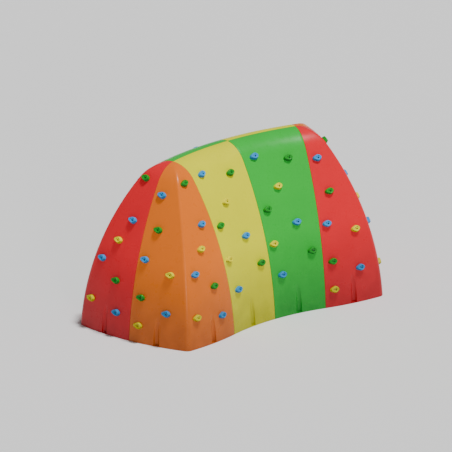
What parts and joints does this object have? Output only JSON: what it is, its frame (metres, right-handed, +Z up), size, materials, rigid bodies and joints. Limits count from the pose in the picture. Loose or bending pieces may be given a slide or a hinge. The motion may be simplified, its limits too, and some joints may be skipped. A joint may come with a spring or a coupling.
{
  "type": "rock climbing wall",
  "caption": "Free-standing curved playground climbing wall: moulded plastic panels bolted along inner flanges, climbing holds bolted through them.",
  "frame": {"origin": "centre of the footprint, on the ground", "axes": "+X to the right as seen from the hollow front, +Y to the rounded rear, +Z up"},
  "size_m": [3.8188, 1.9999, 2],
  "materials": {
    "red_panel": "satin moulded plastic",
    "orange_panel": "satin moulded plastic",
    "yellow_panel": "satin moulded plastic",
    "green_panel": "satin moulded plastic",
    "blue_hold": "satin moulded plastic",
    "green_hold": "satin moulded plastic",
    "yellow_hold": "satin moulded plastic",
    "steel": "zinc plated"
  },
  "bodies": {
    "root": {"front_left_blue_holds": "blue_hold", "front_left_corner_blue_holds": "blue_hold", "front_left_corner_green_holds": "green_hold", "front_left_corner_hold_bolts": "steel", "front_left_corner_hold_nuts": "steel", "front_left_corner_panel": "orange_panel", "front_left_corner_yellow_holds": "yellow_hold", "front_left_green_holds": "green_hold", "front_left_hold_bolts": "steel", "front_left_hold_nuts": "steel", "front_left_panel": "yellow_panel", "front_left_yellow_holds": "yellow_hold", "front_right_blue_holds": "blue_hold", "front_right_corner_blue_holds": "blue_hold", "front_right_corner_green_holds": "green_hold", "front_right_corner_hold_bolts": "steel", "front_right_corner_hold_nuts": "steel", "front_right_corner_panel": "red_panel", "front_right_corner_yellow_holds": "yellow_hold", "front_right_green_holds": "green_hold", "front_right_hold_bolts": "steel", "front_right_hold_nuts": "steel", "front_right_panel": "green_panel", "front_right_yellow_holds": "yellow_hold", "rear_left_blue_holds": "blue_hold", "rear_left_corner_blue_holds": "blue_hold", "rear_left_corner_green_holds": "green_hold", "rear_left_corner_hold_bolts": "steel", "rear_left_corner_hold_nuts": "steel", "rear_left_corner_panel": "red_panel", "rear_left_corner_yellow_holds": "yellow_hold", "rear_left_green_holds": "green_hold", "rear_left_hold_bolts": "steel", "rear_left_hold_nuts": "steel", "rear_left_panel": "green_panel", "rear_left_yellow_holds": "yellow_hold", "rear_right_blue_holds": "blue_hold", "rear_right_corner_blue_holds": "blue_hold", "rear_right_corner_green_holds": "green_hold", "rear_right_corner_hold_bolts": "steel", "rear_right_corner_hold_nuts": "steel", "rear_right_corner_panel": "orange_panel", "rear_right_corner_yellow_holds": "yellow_hold", "rear_right_green_holds": "green_hold", "rear_right_hold_bolts": "steel", "rear_right_hold_nuts": "steel", "rear_right_panel": "yellow_panel", "rear_right_yellow_holds": "yellow_hold", "seam_bolts": "steel", "seam_nuts": "steel", "seam_washers": "steel"}
  },
  "joints": []
}
